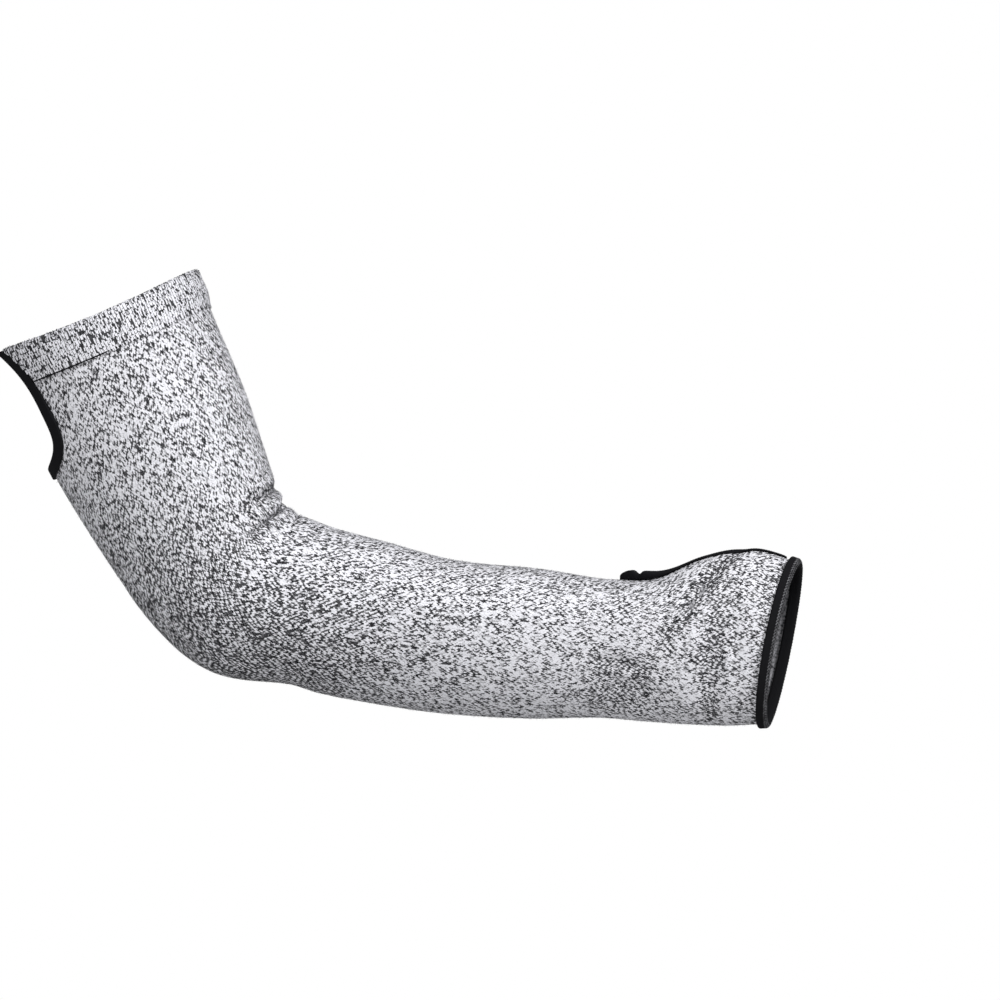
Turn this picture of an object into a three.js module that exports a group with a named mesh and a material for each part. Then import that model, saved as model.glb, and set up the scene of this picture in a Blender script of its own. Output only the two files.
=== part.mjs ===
// A cut resistant knitted sleeve, in the bent shape that it has on a right arm.
// Millimetres. The origin is the elbow, where the axes of the upper arm and the forearm cross.
// +X points to the hand, +Z up, and -Y is the side of the sleeve that faces outwards.
// A station is a distance along the sleeve's axis from its upper rim. An angle goes round
// the axis: 0 is the thumb side, 90 the outward side, 180 the elbow side, -90 the body side.
import * as THREE from "three";
import { mergeVertices } from "three/addons/utils/BufferGeometryUtils.js";

// The axis of the bent arm
const upperArmLength = 168;
const forearmLength = 291.5;
const elbowRadius = 55;
const upperArmLean = 115.8; // degrees from +X
const forearmDrop = 4.7; // degrees below +X

// The knitted tube, measured across its wall's middle
const wall = 1.5;
const girths = {
  upperArm: { width: 111, depth: 92 },
  elbow: { width: 96, depth: 84 },
  forearm: { width: 84, depth: 78 },
  wrist: { width: 74, depth: 54 },
  palm: { width: 92, depth: 50 },
};
const rimSlant = 3.2; // the rim drops at the front and rises at the back
const rimSag = 4.6; // and sags between them
const rimRun = 60; // how far down the sleeve that shape reaches
const mouthLead = 4.8; // the hand opening leads at the thumb side
const mouthDraw = 7; // it draws back on the outward side
const mouthPush = 5; // and stands forward on the body side
const mouthRun = 75; // how far up the sleeve that shape reaches

// The turned hem at the upper rim
const hemHeight = 19;
const hemLayer = 1.3;

// The bound openings, measured across the cloth
const frontSeam = -8; // degrees, the line of the thumb slot
const slotLength = 77;
const slotToMouth = 8;
const slotNear = 8; // half its width, on the outward side of its line
const slotFar = 18; // and on the body side
const slotBluntness = 3; // 2 is an oval, and more is squarer at the ends
const backSeam = 180; // degrees, the line of the notch
const notchLength = 64;
const notchBelly = 38; // from the rim to its widest place
const notchNear = 30;
const notchFar = 29;
const notchRimWidth = 37;
const notchBluntness = 4;

// The folded black tape round the edges
const clearance = 0.3;
const slotTape = { layer: 1.2, reach: 3.4 };
const notchTape = { layer: 1.2, reach: 4.4 };
const mouthTape = { layer: 1.7, reach: 3.8 };
const slotLap = 3.6; // the slot's tape is thicker where its ends lap, at the wrist
const slotLapRun = 22;

// Rows of values under the names of their columns.
function table(names, ...values) {
  return values.map((row) => Object.fromEntries(names.map((name, i) => [name, row[i]])));
}

// Sections of the tube. Along is a share of the upper arm from the rim to the elbow, or of the
// forearm from the elbow to the hand. Front and back are shares of the girth's width, and side
// is a share of its depth.
const sections = table(
  ["limb", "along", "girth", "front", "back", "side"],
  ["upperArm", 0, "upperArm", 0.508, 0.527, 0.51],
  ["upperArm", 0.14, "upperArm", 0.489, 0.523, 0.505],
  ["upperArm", 0.43, "upperArm", 0.468, 0.52, 0.5],
  ["upperArm", 0.6, "upperArm", 0.436, 0.497, 0.48],
  ["upperArm", 0.76, "elbow", 0.472, 0.54, 0.51],
  ["upperArm", 0.9, "elbow", 0.487, 0.506, 0.5],
  ["forearm", 0.02, "elbow", 0.487, 0.504, 0.5],
  ["forearm", 0.09, "elbow", 0.482, 0.448, 0.495],
  ["forearm", 0.16, "elbow", 0.427, 0.486, 0.485],
  ["forearm", 0.26, "forearm", 0.425, 0.592, 0.5],
  ["forearm", 0.38, "forearm", 0.35, 0.618, 0.49],
  ["forearm", 0.55, "forearm", 0.335, 0.605, 0.43],
  ["forearm", 0.68, "wrist", 0.348, 0.64, 0.51],
  ["forearm", 0.76, "wrist", 0.39, 0.64, 0.49],
  ["forearm", 0.84, "palm", 0.452, 0.512, 0.5],
  ["forearm", 0.92, "palm", 0.524, 0.502, 0.49],
  ["forearm", 1, "palm", 0.465, 0.472, 0.47],
);

// Folds and hollows of the worn cloth, as soft ridges on the tube. Around and slant are in
// degrees, and a fold with no slant runs along the sleeve. Length, breadth and rise are shares
// of the girth's width, and a negative rise is a crease.
const folds = table(
  ["limb", "along", "around", "slant", "girth", "length", "breadth", "rise"],
  ["upperArm", 0.76, 18, 86, "elbow", 0.28, 0.03, -0.03],
  ["upperArm", 0.796, 22, 80, "elbow", 0.26, 0.03, 0.012],
  ["upperArm", 0.842, 24, 74, "elbow", 0.3, 0.034, -0.038],
  ["forearm", 0.055, 12, 88, "elbow", 0.2, 0.08, -0.016],
  ["upperArm", 0.8, -34, -80, "elbow", 0.17, 0.034, -0.022],
  ["upperArm", 0.9, -38, -74, "elbow", 0.2, 0.036, -0.03],
  ["upperArm", 0.07, 14, 90, "upperArm", 0.22, 0.05, 0.01],
  ["forearm", 0.845, 54, -46, "palm", 0.32, 0.055, -0.017],
  ["forearm", 0.885, 108, 90, "palm", 0.2, 0.09, -0.02],
  ["forearm", 0.7, 112, 4, "wrist", 0.2, 0.04, -0.022],
  ["forearm", 0.71, 138, 0, "wrist", 0.24, 0.12, -0.026],
  ["forearm", 0.83, -70, 40, "palm", 0.3, 0.06, -0.026],
  ["forearm", 0.72, -120, -30, "wrist", 0.24, 0.06, -0.024],
);

// Facets
const columns = 18; // round each half of the tube
const slotSteps = 8;
const hemSteps = 2;
const bellySteps = 3;
const notchSteps = 7;
const upperArmSteps = 4;
const creaseSteps = 9;
const elbowSteps = 4;
const forearmSteps = 8;

const degree = Math.PI / 180;
const bendAngle = (180 - upperArmLean - forearmDrop) * degree;
const bendTangent = elbowRadius * Math.tan(bendAngle / 2);
const bendStart = upperArmLength - bendTangent;
const bendLength = elbowRadius * bendAngle;
const elbowStation = bendStart + bendLength / 2;
const mouthStation = bendStart + bendLength + forearmLength - bendTangent;
const slotEnd = mouthStation - slotToMouth;
const slotStart = slotEnd - slotLength;

function stationOf({ limb, along }) {
  if (limb === "upperArm") return along * elbowStation;
  return elbowStation + along * (mouthStation - elbowStation);
}

// The axis at a station: its point and its heading in the XZ plane.
function axisAt(station) {
  const upperHeading = (upperArmLean - 180) * degree;
  const forearmHeading = -forearmDrop * degree;
  if (station <= bendStart) {
    const away = station - upperArmLength;
    return {
      x: Math.cos(upperHeading) * away,
      z: Math.sin(upperHeading) * away,
      heading: upperHeading,
    };
  }
  if (station >= bendStart + bendLength) {
    const away = station - bendStart - bendLength + bendTangent;
    return {
      x: Math.cos(forearmHeading) * away,
      z: Math.sin(forearmHeading) * away,
      heading: forearmHeading,
    };
  }
  const start = axisAt(bendStart);
  const heading = upperHeading + (station - bendStart) / elbowRadius;
  return {
    x: start.x + elbowRadius * (Math.sin(heading) - Math.sin(upperHeading)),
    z: start.z - elbowRadius * (Math.cos(heading) - Math.cos(upperHeading)),
    heading,
  };
}

const sectionCurve = new THREE.CubicInterpolant(
  sections.map(stationOf),
  sections.flatMap(({ girth, front, back, side }) => [
    girths[girth].width * front,
    girths[girth].width * back,
    girths[girth].depth * side,
  ]),
  3,
);

function sectionAt(station) {
  const [front, back, side] = sectionCurve.evaluate(station);
  return { front, back, side };
}

// How far a place on the cloth is moved along the sleeve by the shapes of its two rims.
function slideAt(station, angle) {
  const forward = Math.cos(angle);
  const outward = Math.sin(angle);
  const rimShare = 1 - THREE.MathUtils.smoothstep(station, 0, rimRun);
  const mouthShare = THREE.MathUtils.smoothstep(station, mouthStation - mouthRun, mouthStation);
  const turn = outward > 0 ? mouthDraw : mouthPush;
  const rimShift = rimSlant * forward + rimSag * outward * outward;
  const mouthShift = mouthLead * forward - turn * outward;
  return rimShare * rimShift + mouthShare * mouthShift;
}

// The height of the folds at a place on the cloth.
function foldHeight(station, angle, { side }) {
  let height = 0;
  for (const fold of folds) {
    const width = girths[fold.girth].width;
    const down = station - stationOf(fold);
    const turned = Math.atan2(
      Math.sin(angle - fold.around * degree),
      Math.cos(angle - fold.around * degree),
    );
    const across = turned * side;
    const slant = fold.slant * degree;
    const along = down * Math.cos(slant) + across * Math.sin(slant);
    const aside = across * Math.cos(slant) - down * Math.sin(slant);
    const fade = (along / (fold.length * width)) ** 2 + (aside / (fold.breadth * width)) ** 2;
    height += fold.rise * width * Math.exp(-fade);
  }
  return height;
}

// A place on the middle of the cloth's wall.
function clothPlace(station, angle) {
  const section = sectionAt(station);
  const lift = foldHeight(station, angle, section);
  const reach = Math.cos(angle) > 0 ? section.front : section.back;
  const forward = (reach + lift) * Math.cos(angle);
  const outward = (section.side + lift) * Math.sin(angle);
  const axis = axisAt(station + slideAt(station, angle));
  return new THREE.Vector3(
    axis.x - Math.sin(axis.heading) * forward,
    -outward,
    axis.z + Math.cos(axis.heading) * forward,
  );
}

// A place that stands off the middle of the wall, outwards when the height is positive.
function offCloth(station, angle, height) {
  const step = 0.5;
  const turn = 0.5 * degree;
  const down = clothPlace(station + step, angle).sub(clothPlace(station - step, angle));
  const round = clothPlace(station, angle + turn).sub(clothPlace(station, angle - turn));
  const outward = round.cross(down).normalize();
  return clothPlace(station, angle).addScaledVector(outward, height);
}

// Half the width of the slot at a station, on its outward side (1) or its body side (-1).
function slotWidthAt(station, side) {
  const along = (station - slotStart) / slotLength;
  if (along <= 0 || along >= 1) return 0;
  const widest = side > 0 ? slotNear : slotFar;
  return widest * Math.sqrt(1 - Math.abs(2 * along - 1) ** slotBluntness);
}

// Half the width of the notch: it narrows a little to the rim, and closes bluntly below.
function notchWidthAt(station, side) {
  const widest = side > 0 ? notchNear : notchFar;
  if (station >= notchLength) return 0;
  if (station >= notchBelly) {
    const below = (station - notchBelly) / (notchLength - notchBelly);
    return widest * Math.sqrt(1 - below ** notchBluntness);
  }
  const above = (notchBelly - station) / notchBelly;
  return widest - (widest - notchRimWidth / 2) * Math.abs(above) ** 3;
}

// How far the notch's tape reaches across the cloth: further where the edge runs at a slant.
function notchTapeAcross(station, side) {
  const rise = notchWidthAt(Math.min(station, notchBelly), side);
  const slope = notchWidthAt(Math.min(station, notchBelly) + 1, side) - rise;
  return notchTape.reach * Math.hypot(1, slope);
}

// The angles of the columns of facets at a station. The first and last are the edges of the
// slot and the notch, and the next to them lie under the ends of the tape.
function columnAngles(station, side) {
  const { side: depth } = sectionAt(station);
  const front = frontSeam * degree + (side * slotWidthAt(station, side)) / depth;
  const back = side * (backSeam * degree - notchWidthAt(station, side) / depth);
  const frontTape = (side * slotTape.reach) / depth;
  const backTape = (side * notchTapeAcross(station, side)) / depth;
  return [front, ...evenSteps(front + frontTape, back - backTape, columns - 2), back];
}

function evenSteps(from, to, steps) {
  return Array.from({ length: steps + 1 }, (_, i) => from + ((to - from) * i) / steps);
}

// Steps from an opening's end to its widest place, evenly spread along its round outline.
function roundSteps(end, widest, steps, bluntness) {
  return evenSteps(0, 1, steps).map((share) => {
    const turn = Math.cos((share * Math.PI) / 2);
    return widest + (end - widest) * Math.max(0, turn) ** (2 / bluntness);
  });
}

const hemRows = evenSteps(0, hemHeight, hemSteps);
const notchRows = [
  ...hemRows,
  ...evenSteps(hemHeight, notchBelly, bellySteps).slice(1),
  ...roundSteps(notchLength, notchBelly, notchSteps, notchBluntness).reverse().slice(1),
];
const slotMiddle = (slotStart + slotEnd) / 2;
const slotRows = [
  ...roundSteps(slotStart, slotMiddle, slotSteps, slotBluntness),
  ...roundSteps(slotEnd, slotMiddle, slotSteps, slotBluntness).reverse().slice(1),
];
const creasesFrom = stationOf({ limb: "upperArm", along: 0.72 });
const creasesTo = stationOf({ limb: "upperArm", along: 0.92 });
const elbowTo = stationOf({ limb: "forearm", along: 0.12 });
const rows = [
  ...notchRows,
  ...evenSteps(notchLength + notchTape.reach, creasesFrom, upperArmSteps),
  ...evenSteps(creasesFrom, creasesTo, creaseSteps).slice(1),
  ...evenSteps(creasesTo, elbowTo, elbowSteps).slice(1),
  ...evenSteps(elbowTo, slotStart - slotTape.reach, forearmSteps).slice(1),
  ...slotRows,
  slotEnd + slotTape.reach,
  mouthStation - mouthTape.reach,
  mouthStation,
];

// A closed body from triangles given by their corners.
function solidFrom(corners) {
  const places = new Float32Array(corners.flatMap(({ x, y, z }) => [x, y, z]));
  const loose = new THREE.BufferGeometry();
  loose.setAttribute("position", new THREE.BufferAttribute(places, 3));
  const whole = mergeVertices(loose, 1e-3);
  whole.computeVertexNormals();
  return whole;
}

// Two triangles, split along the shorter diagonal.
function quad(corners, a, b, c, d) {
  if (a.distanceTo(c) <= b.distanceTo(d)) corners.push(a, b, c, a, c, d);
  else corners.push(a, b, d, b, c, d);
}

// The skin of the tube at one height, as a grid of places: rows of columns.
function skin(side, height) {
  return rows.map((row) => columnAngles(row, side).map((angle) => offCloth(row, angle, height)));
}

function knittedTube() {
  const corners = [];
  for (const side of [1, -1]) {
    const outer = skin(side, wall / 2);
    const inner = skin(side, -wall / 2);
    const face = (a, b, c, d) => (side > 0 ? quad(corners, a, b, c, d) : quad(corners, d, c, b, a));
    const last = rows.length - 1;
    for (let r = 0; r < last; r++) {
      for (let c = 0; c < columns; c++) {
        face(outer[r][c], outer[r][c + 1], outer[r + 1][c + 1], outer[r + 1][c]);
        face(inner[r][c], inner[r + 1][c], inner[r + 1][c + 1], inner[r][c + 1]);
      }
      const slotOpen = slotWidthAt(rows[r], side) + slotWidthAt(rows[r + 1], side) > 0;
      const notchOpen = notchWidthAt(rows[r], side) + notchWidthAt(rows[r + 1], side) > 0;
      if (slotOpen) face(outer[r][0], outer[r + 1][0], inner[r + 1][0], inner[r][0]);
      const c = columns;
      if (notchOpen) face(outer[r][c], inner[r][c], inner[r + 1][c], outer[r + 1][c]);
    }
    for (let c = 0; c < columns; c++) {
      face(outer[0][c], inner[0][c], inner[0][c + 1], outer[0][c + 1]);
      face(outer[last][c], outer[last][c + 1], inner[last][c + 1], inner[last][c]);
    }
  }
  return solidFrom(corners);
}

// A closed body swept through a row of sections, each a loop of places.
function swept(loops, closed) {
  const corners = [];
  const count = loops[0].length;
  const joins = closed ? loops.length : loops.length - 1;
  for (let i = 0; i < joins; i++) {
    const here = loops[i];
    const next = loops[(i + 1) % loops.length];
    for (let p = 0; p < count; p++) {
      const q = (p + 1) % count;
      quad(corners, here[p], next[p], next[q], here[q]);
    }
  }
  if (!closed) {
    // A folded section is capped leg by leg: its first half is the outside, read backwards
    const half = count / 2;
    for (let p = 0; p < half - 1; p++) {
      const first = loops[0];
      const end = loops[loops.length - 1];
      quad(corners, first[p], first[p + 1], first[count - 2 - p], first[count - 1 - p]);
      quad(corners, end[p + 1], end[p], end[count - 1 - p], end[count - 2 - p]);
    }
  }
  return solidFrom(corners);
}

// A folded strip in section: how far each corner lies on from the cloth's edge, and its height.
// The outside of the fold comes first, then the inside, back to where it started.
function foldedSection({ layer, reach }, steps = 1) {
  const inside = wall / 2 + clearance;
  const outside = inside + layer;
  const turn = clearance + layer;
  const bevel = layer / 3;
  const crease = clearance / 3;
  const leg = evenSteps(-reach, 0, steps).slice(0, -1);
  const back = [...leg].reverse();
  return [
    ...leg.map((on) => ({ on, height: outside })),
    { on: turn - bevel, height: outside },
    { on: turn, height: outside - bevel },
    { on: turn, height: -outside + bevel },
    { on: turn - bevel, height: -outside },
    ...back.map((on) => ({ on, height: -outside })),
    ...leg.map((on) => ({ on, height: -inside })),
    { on: clearance - crease, height: -inside },
    { on: clearance, height: crease - inside },
    { on: clearance, height: inside - crease },
    { on: clearance - crease, height: inside },
    ...back.map((on) => ({ on, height: inside })),
  ];
}

// Tape along an opening's edge. The path lies in the cloth: stations, and distances across
// the cloth from the opening's line. The cloth is on its left as it is followed.
function edgeTape(path, lineAngle, closed, tape, lapAt = () => 0) {
  const section = foldedSection(tape);
  const count = path.length;
  const loops = path.map((place, i) => {
    const before = closed ? path[(i + count - 1) % count] : path[Math.max(0, i - 1)];
    const after = closed ? path[(i + 1) % count] : path[Math.min(count - 1, i + 1)];
    const heading = new THREE.Vector2(after.station - before.station, after.across - before.across);
    heading.normalize();
    return section.map(({ on, height }) => {
      const station = place.station + heading.y * on;
      const across = place.across - heading.x * on;
      const lap = height > wall / 2 + tape.layer / 2 ? lapAt(place.station) : 0;
      return offCloth(station, lineAngle + across / sectionAt(station).side, height + lap);
    });
  });
  return swept(loops, closed);
}

function slotBinding() {
  const near = slotRows.map((station) => ({ station, across: slotWidthAt(station, 1) }));
  const far = slotRows.map((station) => ({ station, across: -slotWidthAt(station, -1) }));
  const path = [...near, ...far.reverse().slice(1, -1)];
  const lapAt = (station) => slotLap * Math.exp(-(((station - slotStart) / slotLapRun) ** 2));
  return edgeTape(path, frontSeam * degree, true, slotTape, lapAt);
}

function notchBinding() {
  const side = [-clearance - hemLayer, ...notchRows];
  const far = side.map((station) => ({ station, across: notchWidthAt(station, -1) }));
  const near = side.map((station) => ({ station, across: -notchWidthAt(station, 1) }));
  const path = [...far, ...near.reverse().slice(1)];
  return edgeTape(path, backSeam * degree, false, notchTape);
}

// Tape round the hand opening.
function mouthBinding() {
  const section = foldedSection(mouthTape);
  const angles = ringAngles(mouthStation);
  const loops = angles.map((angle) =>
    section.map(({ on, height }) => offCloth(mouthStation + on, angle, height)),
  );
  return swept(loops, true);
}

// The angles right round the tube, from the front over the outward side and back.
function ringAngles(station) {
  const near = columnAngles(station, 1);
  const far = columnAngles(station, -1);
  return [...near, ...far.reverse().slice(1, -1)];
}

// The turned hem over the rim's edge. It stops short of the tape on both sides of the notch.
function upperHem() {
  const section = foldedSection({ layer: hemLayer, reach: hemHeight }, hemSteps);
  const order = evenSteps(0, columns - 1, columns - 1);
  const near = order.map((column) => ({ column, side: 1 }));
  const far = order.map((column) => ({ column, side: -1 }));
  const loops = [...near.reverse(), ...far.slice(1)].map(({ column, side }) =>
    section.map(({ on, height }) => {
      const gap = column === columns - 1 ? clearance / sectionAt(-on).side : 0;
      return offCloth(-on, columnAngles(-on, side)[column] - side * gap, height);
    }),
  );
  return swept(loops, false);
}

function piece(name, geometry, color, roughness) {
  const material = new THREE.MeshStandardMaterial({ color, roughness, metalness: 0 });
  const mesh = new THREE.Mesh(geometry, material);
  mesh.name = name;
  return mesh;
}

const knitGrey = 0xb9b9c2;
const hemGrey = 0xa9a9b2;
const tapeBlack = 0x121216;

const sleeve = new THREE.Group();
sleeve.add(
  piece("sleeve_body", knittedTube(), knitGrey, 0.9),
  piece("upper_hem", upperHem(), hemGrey, 0.9),
  piece("hand_binding", mouthBinding(), tapeBlack, 0.7),
  piece("thumb_slot_binding", slotBinding(), tapeBlack, 0.7),
  piece("notch_binding", notchBinding(), tapeBlack, 0.7),
);

export default sleeve;
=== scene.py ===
# Looks for the cut resistant sleeve: a marl knit with black bindings, in its bent, worn form.
# Lengths are in millimetres in the frame of the solids. meshObject turns them into metres.
# A station is a distance along the axis from the upper rim. An angle goes round the axis:
# 0 is the slot's side, 90 the outward side, 180 the outside of the bend, -90 the inward side.
import math

import bmesh
import bpy
import numpy as np
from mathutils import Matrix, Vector


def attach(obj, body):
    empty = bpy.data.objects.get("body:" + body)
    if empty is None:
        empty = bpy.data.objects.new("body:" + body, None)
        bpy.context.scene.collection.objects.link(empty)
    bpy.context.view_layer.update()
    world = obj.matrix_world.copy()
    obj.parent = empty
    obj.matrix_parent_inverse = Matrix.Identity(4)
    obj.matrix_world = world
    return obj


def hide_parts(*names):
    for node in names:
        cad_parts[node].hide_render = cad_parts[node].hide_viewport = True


# One millimetre, in metres
millimetre = 0.001

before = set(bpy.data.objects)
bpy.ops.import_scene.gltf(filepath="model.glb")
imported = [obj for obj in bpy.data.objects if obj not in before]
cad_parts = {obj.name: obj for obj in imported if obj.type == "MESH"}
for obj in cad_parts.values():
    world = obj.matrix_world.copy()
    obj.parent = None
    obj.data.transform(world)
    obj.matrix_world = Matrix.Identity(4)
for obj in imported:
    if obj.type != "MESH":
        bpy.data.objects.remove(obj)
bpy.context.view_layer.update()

# The shape of the sleeve, as its solids have it
sleeve = {
    "upperArmLength": 168,
    "forearmLength": 291.5,
    "elbowRadius": 55,
    "upperArmLean": 115.8,
    "forearmDrop": 4.7,
    "wall": 1.5,
    "rimSlant": 3.2,
    "rimSag": 4.6,
    "rimRun": 60,
    "mouthLead": 4.8,
    "mouthDraw": 7,
    "mouthPush": 5,
    "mouthRun": 75,
    "hemHeight": 19,
    "hemLayer": 1.3,
    "frontSeam": -8,
    "slotLength": 77,
    "slotToMouth": 8,
    "slotNear": 8,
    "slotFar": 18,
    "slotBluntness": 3,
    "backSeam": 180,
    "notchLength": 64,
    "notchBelly": 38,
    "notchNear": 30,
    "notchFar": 29,
    "notchRimWidth": 37,
    "notchBluntness": 4,
    "clearance": 0.3,
    "slotLap": 3.6,
    "slotLapRun": 22,
}
# Width and depth of each girth
girths = {
    "upperArm": (111, 92),
    "elbow": (96, 84),
    "forearm": (84, 78),
    "wrist": (74, 54),
    "palm": (92, 50),
}
# Limb, along, girth, front, back, side
sections = [
    ("upperArm", 0, "upperArm", 0.508, 0.527, 0.51),
    ("upperArm", 0.14, "upperArm", 0.489, 0.523, 0.505),
    ("upperArm", 0.43, "upperArm", 0.468, 0.52, 0.5),
    ("upperArm", 0.6, "upperArm", 0.436, 0.497, 0.48),
    ("upperArm", 0.76, "elbow", 0.472, 0.54, 0.51),
    ("upperArm", 0.9, "elbow", 0.487, 0.506, 0.5),
    ("forearm", 0.02, "elbow", 0.487, 0.504, 0.5),
    ("forearm", 0.09, "elbow", 0.482, 0.448, 0.495),
    ("forearm", 0.16, "elbow", 0.427, 0.486, 0.485),
    ("forearm", 0.26, "forearm", 0.425, 0.592, 0.5),
    ("forearm", 0.38, "forearm", 0.35, 0.618, 0.49),
    ("forearm", 0.55, "forearm", 0.335, 0.605, 0.43),
    ("forearm", 0.68, "wrist", 0.348, 0.64, 0.51),
    ("forearm", 0.76, "wrist", 0.39, 0.64, 0.49),
    ("forearm", 0.84, "palm", 0.452, 0.512, 0.5),
    ("forearm", 0.92, "palm", 0.524, 0.502, 0.49),
    ("forearm", 1, "palm", 0.465, 0.472, 0.47),
]
# Limb, along, around, slant, girth, length, breadth, rise
folds = [
    ("upperArm", 0.76, 18, 86, "elbow", 0.28, 0.03, -0.03),
    ("upperArm", 0.796, 22, 80, "elbow", 0.26, 0.03, 0.012),
    ("upperArm", 0.842, 24, 74, "elbow", 0.3, 0.034, -0.038),
    ("forearm", 0.055, 12, 88, "elbow", 0.2, 0.08, -0.016),
    ("upperArm", 0.8, -34, -80, "elbow", 0.17, 0.034, -0.022),
    ("upperArm", 0.9, -38, -74, "elbow", 0.2, 0.036, -0.03),
    ("upperArm", 0.07, 14, 90, "upperArm", 0.22, 0.05, 0.01),
    ("forearm", 0.845, 54, -46, "palm", 0.32, 0.055, -0.017),
    ("forearm", 0.885, 108, 90, "palm", 0.2, 0.09, -0.02),
    ("forearm", 0.7, 112, 4, "wrist", 0.2, 0.04, -0.022),
    ("forearm", 0.71, 138, 0, "wrist", 0.24, 0.12, -0.026),
    ("forearm", 0.83, -70, 40, "palm", 0.3, 0.06, -0.026),
    ("forearm", 0.72, -120, -30, "wrist", 0.24, 0.06, -0.024),
]
# Finer creases that only the cloth's looks have, in the same columns
fineFolds = [
    ("forearm", 0.845, 54, -46, "palm", 0.28, 0.028, -0.01),
    ("forearm", 0.885, 108, 90, "palm", 0.18, 0.06, -0.011),
    ("forearm", 0.71, 126, 8, "wrist", 0.22, 0.035, -0.012),
    ("forearm", 0.93, 88, 70, "palm", 0.16, 0.03, -0.008),
]

bendAngle = math.radians(180 - sleeve["upperArmLean"] - sleeve["forearmDrop"])
bendTangent = sleeve["elbowRadius"] * math.tan(bendAngle / 2)
bendStart = sleeve["upperArmLength"] - bendTangent
bendLength = sleeve["elbowRadius"] * bendAngle
elbowStation = bendStart + bendLength / 2
mouthStation = bendStart + bendLength + sleeve["forearmLength"] - bendTangent
slotEnd = mouthStation - sleeve["slotToMouth"]
slotStart = slotEnd - sleeve["slotLength"]
frontLine = math.radians(sleeve["frontSeam"])
backLine = math.radians(sleeve["backSeam"])
# The height over the middle of the wall at which tapes and the hem begin
stripInside = sleeve["wall"] / 2 + sleeve["clearance"]


def stationOf(limb, along):
    if limb == "upperArm":
        return along * elbowStation
    return elbowStation + along * (mouthStation - elbowStation)


def smoothStep(value, low, high):
    share = np.clip((value - low) / (high - low), 0, 1)
    return share * share * (3 - 2 * share)


# The axis's point and heading at each station
def axisAt(station):
    upper = math.radians(sleeve["upperArmLean"] - 180)
    lower = -math.radians(sleeve["forearmDrop"])
    radius = sleeve["elbowRadius"]
    heading = upper + np.clip(station - bendStart, 0, bendLength) / radius
    before = np.minimum(station, bendStart) - sleeve["upperArmLength"]
    after = np.maximum(station - bendStart - bendLength, 0)
    alongX = before * math.cos(upper) + radius * (np.sin(heading) - math.sin(upper))
    alongZ = before * math.sin(upper) - radius * (np.cos(heading) - math.cos(upper))
    return alongX + after * math.cos(lower), alongZ + after * math.sin(lower), heading


sectionStations = np.array([stationOf(row[0], row[1]) for row in sections])
sectionSizes = np.array(
    [
        (girths[row[2]][0] * row[3], girths[row[2]][0] * row[4], girths[row[2]][1] * row[5])
        for row in sections
    ]
)


# Front, back and side reach at each station, by the cubic that the solids use
def sectionAt(station):
    knots, sizes = sectionStations, sectionSizes
    inside = np.clip(station, knots[0], knots[-1])
    high = np.clip(np.searchsorted(knots, inside, side="right"), 1, len(knots) - 1)
    low = high - 1
    before = np.where(low > 0, low - 1, high)
    after = np.where(high < len(knots) - 1, high + 1, low)
    half = (knots[high] - knots[low]) / 2
    weightBefore = half / (knots[low] - knots[before])
    weightAfter = half / (knots[after] - knots[high])
    p = (inside - knots[low]) / (knots[high] - knots[low])
    shareBefore = -weightBefore * p * (p - 1) ** 2
    shareLow = (1 + weightBefore) * p**3 - (1.5 + 2 * weightBefore) * p**2
    shareLow = shareLow + (weightBefore - 0.5) * p + 1
    shareHigh = -(1 + weightAfter) * p**3 + (1.5 + weightAfter) * p**2 + 0.5 * p
    shareAfter = weightAfter * p**2 * (p - 1)
    found = (
        shareBefore[..., None] * sizes[before]
        + shareLow[..., None] * sizes[low]
        + shareHigh[..., None] * sizes[high]
        + shareAfter[..., None] * sizes[after]
    )
    return found[..., 0], found[..., 1], found[..., 2]


# How far the rims' shapes move a place along the sleeve
def slideAt(station, angle):
    forward, outward = np.cos(angle), np.sin(angle)
    rimShare = 1 - smoothStep(station, 0, sleeve["rimRun"])
    mouthShare = smoothStep(station, mouthStation - sleeve["mouthRun"], mouthStation)
    turn = np.where(outward > 0, sleeve["mouthDraw"], sleeve["mouthPush"])
    rimShift = sleeve["rimSlant"] * forward + sleeve["rimSag"] * outward**2
    return rimShare * rimShift + mouthShare * (sleeve["mouthLead"] * forward - turn * outward)


def wrapped(angle):
    return np.arctan2(np.sin(angle), np.cos(angle))


def foldHeight(station, angle, side):
    height = np.zeros(np.broadcast(station, angle).shape)
    for limb, along, around, slant, girth, length, breadth, rise in folds + fineFolds:
        width = girths[girth][0]
        down = station - stationOf(limb, along)
        across = wrapped(angle - math.radians(around)) * side
        turn = math.radians(slant)
        run = (down * math.cos(turn) + across * math.sin(turn)) / (length * width)
        aside = (across * math.cos(turn) - down * math.sin(turn)) / (breadth * width)
        height += rise * width * np.exp(-(run**2) - aside**2)
    return height


# Places on the middle of the cloth's wall
def clothPlace(station, angle):
    station, angle = np.broadcast_arrays(np.asarray(station, float), np.asarray(angle, float))
    front, back, side = sectionAt(station)
    lift = foldHeight(station, angle, side)
    reach = np.where(np.cos(angle) > 0, front, back)
    forward = (reach + lift) * np.cos(angle)
    outward = (side + lift) * np.sin(angle)
    alongX, alongZ, heading = axisAt(station + slideAt(station, angle))
    return np.stack(
        [alongX - np.sin(heading) * forward, -outward, alongZ + np.cos(heading) * forward], -1
    )


# Distances across the cloth from the slot's line and from the notch's line
def seamGaps(station, angle):
    side = sectionAt(station)[2]
    return wrapped(angle - frontLine) * side, wrapped(angle - backLine) * side


def unit(vectors):
    return vectors / np.maximum(np.linalg.norm(vectors, axis=-1, keepdims=True), 1e-9)


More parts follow.
